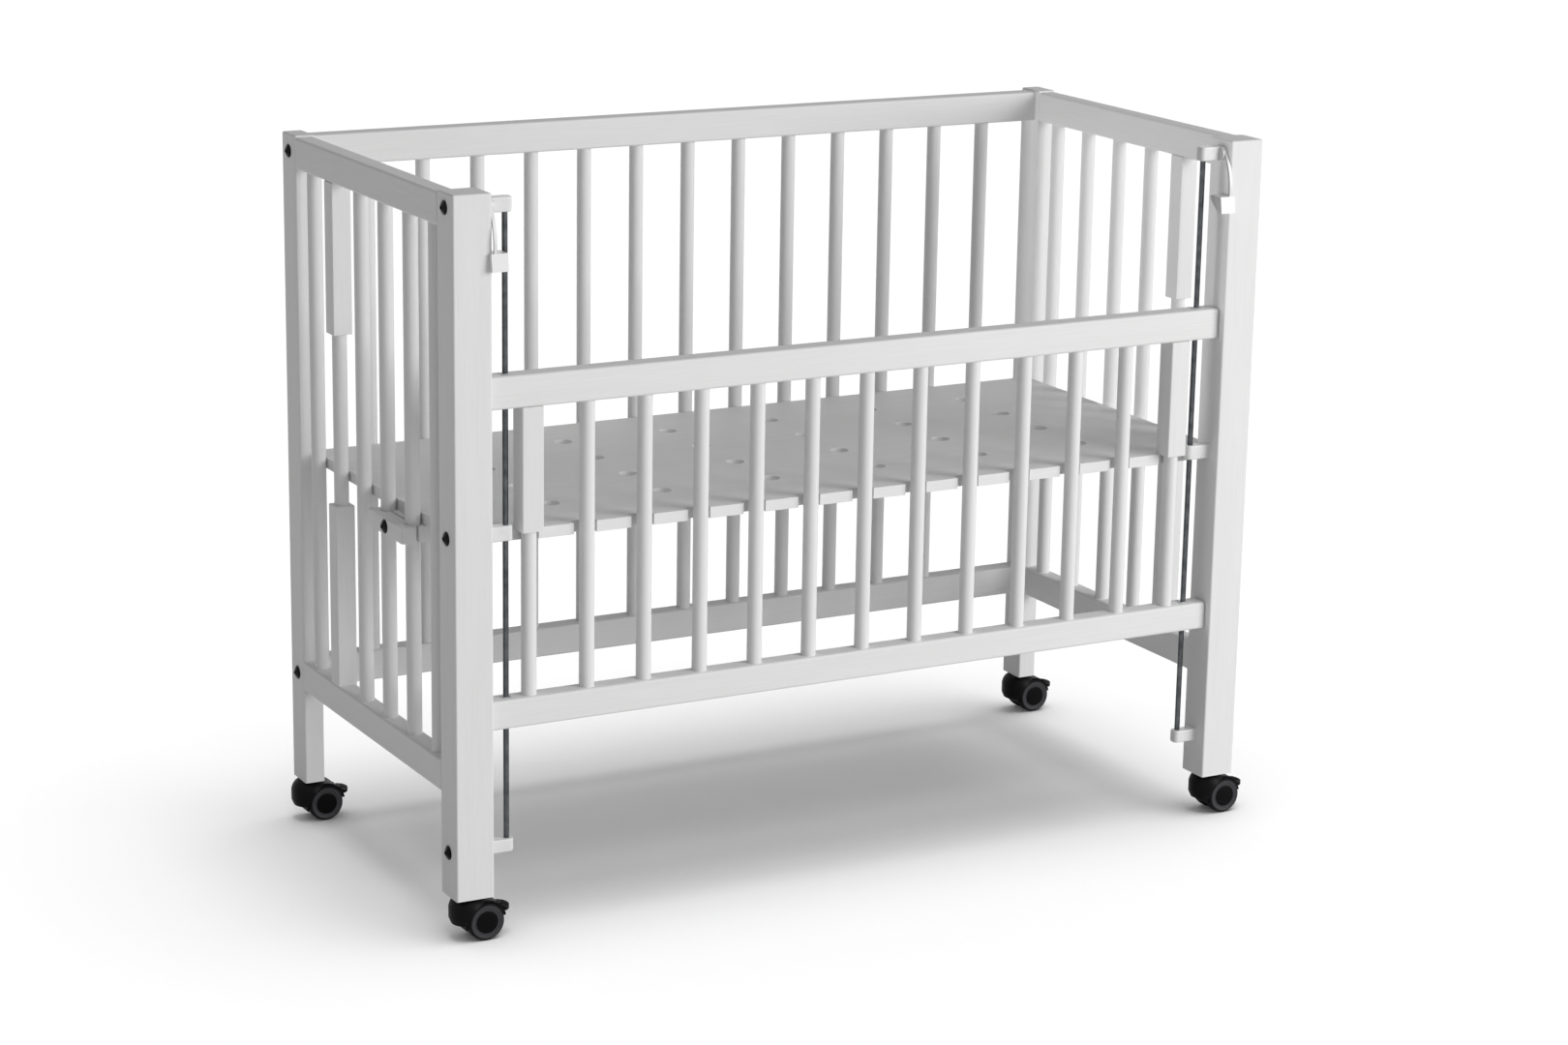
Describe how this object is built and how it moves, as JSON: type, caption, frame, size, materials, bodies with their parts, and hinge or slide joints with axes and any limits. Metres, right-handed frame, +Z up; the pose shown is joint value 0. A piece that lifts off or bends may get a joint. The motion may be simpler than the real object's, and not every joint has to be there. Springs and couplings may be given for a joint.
{
  "type": "bedside sleeper crib",
  "caption": "Slatted bedside crib on swivel casters, with a clamped bed board of adjustable height and a drop side that slides on steel rods.",
  "frame": {"origin": "on the floor, under the middle of the crib's outline with clamp bolts, brake levers and latches", "axes": "+X along the crib to its right end, +Y from the drop side to the back panel, +Z up"},
  "size_m": [1.0143, 0.471, 0.782],
  "materials": {
    "white_lacquer": "satin white lacquer on wood",
    "white_plastic": "smooth moulded white plastic",
    "polished_steel": "polished bright steel",
    "dark_bolt": "black finished steel",
    "brass_insert": "plain brass",
    "beech_dowel": "raw beech",
    "grey_nylon": "dark grey nylon",
    "black_nylon": "black nylon",
    "zinc_steel": "zinc plated steel"
  },
  "bodies": {
    "frame": {"back_bottom_rail": "white_lacquer", "back_panel_bolts": "dark_bolt", "back_slats": "white_lacquer", "back_top_rail": "white_lacquer", "barrel_nuts": "zinc_steel", "bracket_bolts": "dark_bolt", "bracket_inserts": "brass_insert", "caster_stems": "zinc_steel", "front_left_post": "white_lacquer", "front_right_post": "white_lacquer", "guide_rods": "polished_steel", "left_end_bottom_rail": "white_lacquer", "left_end_slats": "white_lacquer", "left_end_stop_slat": "white_lacquer", "left_end_top_rail": "white_lacquer", "lower_rod_brackets": "white_plastic", "middle_rod_brackets": "white_plastic", "rail_dowels": "beech_dowel", "rear_left_post": "white_lacquer", "rear_right_post": "white_lacquer", "right_end_bottom_rail": "white_lacquer", "right_end_slats": "white_lacquer", "right_end_stop_slat": "white_lacquer", "right_end_top_rail": "white_lacquer", "upper_rod_brackets": "white_plastic"},
    "bed_board": {"bed_board": "white_lacquer", "clamp_outer_blocks": "white_lacquer", "clamp_inner_blocks": "white_lacquer", "clamp_bolts": "dark_bolt", "clamp_nuts": "zinc_steel", "clamp_screws": "zinc_steel"},
    "drop_side": {"drop_side_block_slats": "white_lacquer", "drop_side_bottom_rail": "white_lacquer", "drop_side_slats": "white_lacquer", "drop_side_top_rail": "white_lacquer", "rod_bushes": "polished_steel"},
    "left_latch": {"left_latch": "white_plastic"},
    "right_latch": {"right_latch": "white_plastic"},
    "front_left_fork": {"front_left_caster_housing": "black_nylon", "front_left_caster_pins": "zinc_steel"},
    "front_left_wheels": {"front_left_caster_wheels": "black_nylon", "front_left_caster_wheel_discs": "grey_nylon"},
    "front_left_lever": {"front_left_caster_brake_lever": "black_nylon"},
    "front_right_fork": {"front_right_caster_housing": "black_nylon", "front_right_caster_pins": "zinc_steel"},
    "front_right_wheels": {"front_right_caster_wheels": "black_nylon", "front_right_caster_wheel_discs": "grey_nylon"},
    "front_right_lever": {"front_right_caster_brake_lever": "black_nylon"},
    "rear_left_fork": {"rear_left_caster_housing": "black_nylon", "rear_left_caster_pins": "zinc_steel"},
    "rear_left_wheels": {"rear_left_caster_wheels": "black_nylon", "rear_left_caster_wheel_discs": "grey_nylon"},
    "rear_left_lever": {"rear_left_caster_brake_lever": "black_nylon"},
    "rear_right_fork": {"rear_right_caster_housing": "black_nylon", "rear_right_caster_pins": "zinc_steel"},
    "rear_right_wheels": {"rear_right_caster_wheels": "black_nylon", "rear_right_caster_wheel_discs": "grey_nylon"},
    "rear_right_lever": {"rear_right_caster_brake_lever": "black_nylon"}
  },
  "joints": [
    {"name": "board_height", "type": "slide", "parent": "frame", "child": "bed_board", "axis": [0, 0, 1], "range_m": [-0.025, 0.152]},
    {"name": "drop_side_slide", "type": "slide", "parent": "bed_board", "child": "drop_side", "axis": [0, 0, -1], "range_m": [-0.162, 0], "deforming": ["left_latch", "right_latch"]},
    {"name": "left_latch_flex", "type": "hinge", "parent": "frame", "child": "left_latch", "pos_m": [-0.45127, -0.207, 0.767], "axis": [-1, 0, 0], "range_deg": [0, 9], "stiffness_Nm_per_rad": 1.5},
    {"name": "right_latch_flex", "type": "hinge", "parent": "frame", "child": "right_latch", "pos_m": [0.42877, -0.207, 0.767], "axis": [-1, 0, 0], "range_deg": [0, 9], "stiffness_Nm_per_rad": 1.5},
    {"name": "front_left_swivel", "type": "hinge", "parent": "frame", "child": "front_left_fork", "pos_m": [-0.47525, -0.208, 0.048], "axis": [0, 0, 1], "continuous": true},
    {"name": "front_left_wheel_spin", "type": "hinge", "parent": "front_left_fork", "child": "front_left_wheels", "pos_m": [-0.46125, -0.208, 0.02], "axis": [0, 1, 0], "continuous": true},
    {"name": "front_left_brake", "type": "hinge", "parent": "front_left_fork", "child": "front_left_lever", "pos_m": [-0.44825, -0.208, 0.029], "axis": [0, 1, 0], "range_deg": [0, 9]},
    {"name": "front_right_swivel", "type": "hinge", "parent": "frame", "child": "front_right_fork", "pos_m": [0.45275, -0.208, 0.048], "axis": [0, 0, 1], "continuous": true},
    {"name": "front_right_wheel_spin", "type": "hinge", "parent": "front_right_fork", "child": "front_right_wheels", "pos_m": [0.46675, -0.208, 0.02], "axis": [0, 1, 0], "continuous": true},
    {"name": "front_right_brake", "type": "hinge", "parent": "front_right_fork", "child": "front_right_lever", "pos_m": [0.47975, -0.208, 0.029], "axis": [0, 1, 0], "range_deg": [0, 9]},
    {"name": "rear_left_swivel", "type": "hinge", "parent": "frame", "child": "rear_left_fork", "pos_m": [-0.48475, 0.215, 0.048], "axis": [0, 0, 1], "continuous": true},
    {"name": "rear_left_wheel_spin", "type": "hinge", "parent": "rear_left_fork", "child": "rear_left_wheels", "pos_m": [-0.47075, 0.215, 0.02], "axis": [0, 1, 0], "continuous": true},
    {"name": "rear_left_brake", "type": "hinge", "parent": "rear_left_fork", "child": "rear_left_lever", "pos_m": [-0.45775, 0.215, 0.029], "axis": [0, 1, 0], "range_deg": [0, 9]},
    {"name": "rear_right_swivel", "type": "hinge", "parent": "frame", "child": "rear_right_fork", "pos_m": [0.46225, 0.215, 0.048], "axis": [0, 0, 1], "continuous": true},
    {"name": "rear_right_wheel_spin", "type": "hinge", "parent": "rear_right_fork", "child": "rear_right_wheels", "pos_m": [0.47625, 0.215, 0.02], "axis": [0, 1, 0], "continuous": true},
    {"name": "rear_right_brake", "type": "hinge", "parent": "rear_right_fork", "child": "rear_right_lever", "pos_m": [0.48925, 0.215, 0.029], "axis": [0, 1, 0], "range_deg": [0, 9]}
  ]
}
